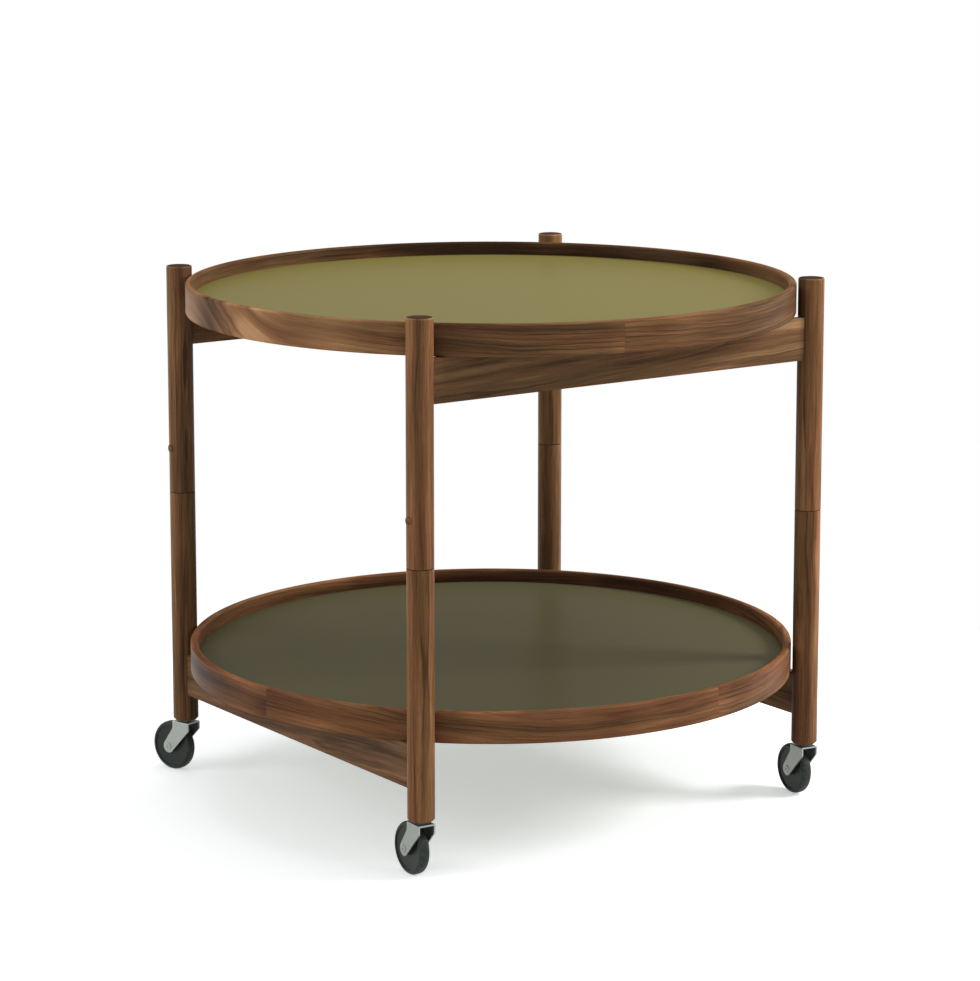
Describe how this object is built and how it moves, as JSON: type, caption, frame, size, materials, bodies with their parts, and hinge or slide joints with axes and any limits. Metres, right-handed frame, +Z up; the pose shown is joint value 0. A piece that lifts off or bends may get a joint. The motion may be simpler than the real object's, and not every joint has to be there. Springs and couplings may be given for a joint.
{
  "type": "folding serving trolley",
  "caption": "Low serving trolley with round lift-off trays in a folding dowel-leg frame on swivel casters.",
  "frame": {"origin": "on the floor, under the middle of the trays", "axes": "+Z up, X along the two upper rails, Y along the two lower rails, -Y towards the front"},
  "size_m": [0.6, 0.6, 0.5214],
  "materials": {
    "walnut_legs": "oiled, grain along the leg",
    "walnut_rails": "oiled, grain along the rail",
    "walnut_rims": "oiled, grain round the rim",
    "panel_core": "thin plywood",
    "olive_laminate": "matt laminate",
    "dark_laminate": "matt laminate",
    "beech_dowels": "plain, glued",
    "steel_pins": "turned",
    "brass_bushes": "turned",
    "black_washers": "plain",
    "zinc_plate": "dull zinc plating",
    "wheel_plastic": "moulded",
    "wheel_rubber": "worn, dusty"
  },
  "bodies": {
    "left_lower_frame": {"lower_leg_front_left": "walnut_legs", "pivot_pin_front_left": "steel_pins", "caster_stem_front_left": "zinc_plate", "lower_leg_rear_left": "walnut_legs", "pivot_pin_rear_left": "steel_pins", "caster_stem_rear_left": "zinc_plate", "lower_rail_left": "walnut_rails", "lower_rail_dowels_left": "beech_dowels", "seam_washers_left": "black_washers", "caster_sockets_left": "steel_pins"},
    "right_lower_frame": {"lower_leg_front_right": "walnut_legs", "pivot_pin_front_right": "steel_pins", "caster_stem_front_right": "zinc_plate", "lower_leg_rear_right": "walnut_legs", "pivot_pin_rear_right": "steel_pins", "caster_stem_rear_right": "zinc_plate", "lower_rail_right": "walnut_rails", "lower_rail_dowels_right": "beech_dowels", "seam_washers_right": "black_washers", "caster_sockets_right": "steel_pins"},
    "front_upper_frame": {"upper_leg_front_left": "walnut_legs", "pivot_bush_front_left": "brass_bushes", "upper_leg_front_right": "walnut_legs", "pivot_bush_front_right": "brass_bushes", "upper_rail_front": "walnut_rails", "upper_rail_dowels_front": "beech_dowels", "retaining_screw_front_left": "steel_pins", "button_plug_front_left": "walnut_legs"},
    "rear_upper_frame": {"upper_leg_rear_left": "walnut_legs", "pivot_bush_rear_left": "brass_bushes", "upper_leg_rear_right": "walnut_legs", "pivot_bush_rear_right": "brass_bushes", "upper_rail_rear": "walnut_rails", "upper_rail_dowels_rear": "beech_dowels", "retaining_screw_rear_left": "steel_pins", "button_plug_rear_left": "walnut_legs"},
    "upper_tray": {"upper_tray_rim": "walnut_rims", "upper_tray_core": "panel_core", "upper_tray_top_laminate": "olive_laminate", "upper_tray_base_laminate": "dark_laminate"},
    "lower_tray": {"lower_tray_rim": "walnut_rims", "lower_tray_core": "panel_core", "lower_tray_top_laminate": "dark_laminate", "lower_tray_base_laminate": "olive_laminate"},
    "caster_front_left": {"caster_fork_front_left": "zinc_plate", "caster_axle_front_left": "zinc_plate"},
    "wheel_front_left": {"wheel_core_front_left": "wheel_plastic", "wheel_tyre_front_left": "wheel_rubber"},
    "caster_front_right": {"caster_fork_front_right": "zinc_plate", "caster_axle_front_right": "zinc_plate"},
    "wheel_front_right": {"wheel_core_front_right": "wheel_plastic", "wheel_tyre_front_right": "wheel_rubber"},
    "caster_rear_left": {"caster_fork_rear_left": "zinc_plate", "caster_axle_rear_left": "zinc_plate"},
    "wheel_rear_left": {"wheel_core_rear_left": "wheel_plastic", "wheel_tyre_rear_left": "wheel_rubber"},
    "caster_rear_right": {"caster_fork_rear_right": "zinc_plate", "caster_axle_rear_right": "zinc_plate"},
    "wheel_rear_right": {"wheel_core_rear_right": "wheel_plastic", "wheel_tyre_rear_right": "wheel_rubber"}
  },
  "joints": [
    {"name": "front_upper_frame_pivot", "type": "hinge", "parent": "left_lower_frame", "child": "front_upper_frame", "pos_m": [-0.229, -0.2155, 0.2916], "axis": [0, 0, 1], "range_deg": [-0.25, 0.25]},
    {"name": "rear_upper_frame_pivot", "type": "hinge", "parent": "left_lower_frame", "child": "rear_upper_frame", "pos_m": [-0.229, 0.2155, 0.2916], "axis": [0, 0, 1], "range_deg": [-0.25, 0.25]},
    {"name": "right_lower_frame_pivot", "type": "hinge", "parent": "front_upper_frame", "child": "right_lower_frame", "pos_m": [0.229, -0.2155, 0.2916], "axis": [0, 0, 1], "range_deg": [-0.25, 0.25]},
    {"name": "upper_tray_lift", "type": "slide", "parent": "front_upper_frame", "child": "upper_tray", "axis": [0, 0, 1], "range_m": [0, 0.15]},
    {"name": "lower_tray_lift", "type": "slide", "parent": "left_lower_frame", "child": "lower_tray", "axis": [0, 0, 1], "range_m": [0, 0.28]},
    {"name": "caster_swivel_front_left", "type": "hinge", "parent": "left_lower_frame", "child": "caster_front_left", "pos_m": [-0.229, -0.2155, 0.053], "axis": [0, 0, 1], "continuous": true},
    {"name": "wheel_spin_front_left", "type": "hinge", "parent": "caster_front_left", "child": "wheel_front_left", "pos_m": [-0.22812, -0.19882, 0.025], "axis": [0.9986, -0.0523, 0], "continuous": true},
    {"name": "caster_swivel_front_right", "type": "hinge", "parent": "right_lower_frame", "child": "caster_front_right", "pos_m": [0.229, -0.2155, 0.053], "axis": [0, 0, 1], "continuous": true},
    {"name": "wheel_spin_front_right", "type": "hinge", "parent": "caster_front_right", "child": "wheel_front_right", "pos_m": [0.23103, -0.19892, 0.025], "axis": [0.9925, -0.1219, 0], "continuous": true},
    {"name": "caster_swivel_rear_left", "type": "hinge", "parent": "left_lower_frame", "child": "caster_rear_left", "pos_m": [-0.229, 0.2155, 0.053], "axis": [0, 0, 1], "continuous": true},
    {"name": "wheel_spin_rear_left", "type": "hinge", "parent": "caster_rear_left", "child": "wheel_rear_left", "pos_m": [-0.23416, 0.23138, 0.025], "axis": [0.9511, 0.309, 0], "continuous": true},
    {"name": "caster_swivel_rear_right", "type": "hinge", "parent": "right_lower_frame", "child": "caster_rear_right", "pos_m": [0.229, 0.2155, 0.053], "axis": [0, 0, 1], "continuous": true},
    {"name": "wheel_spin_rear_right", "type": "hinge", "parent": "caster_rear_right", "child": "wheel_rear_right", "pos_m": [0.22725, 0.23211, 0.025], "axis": [0.9945, 0.1045, 0], "continuous": true}
  ],
  "couplings": [
    {"joint": "rear_upper_frame_pivot", "follows": "front_upper_frame_pivot", "ratio": 1},
    {"joint": "right_lower_frame_pivot", "follows": "front_upper_frame_pivot", "ratio": -1}
  ]
}
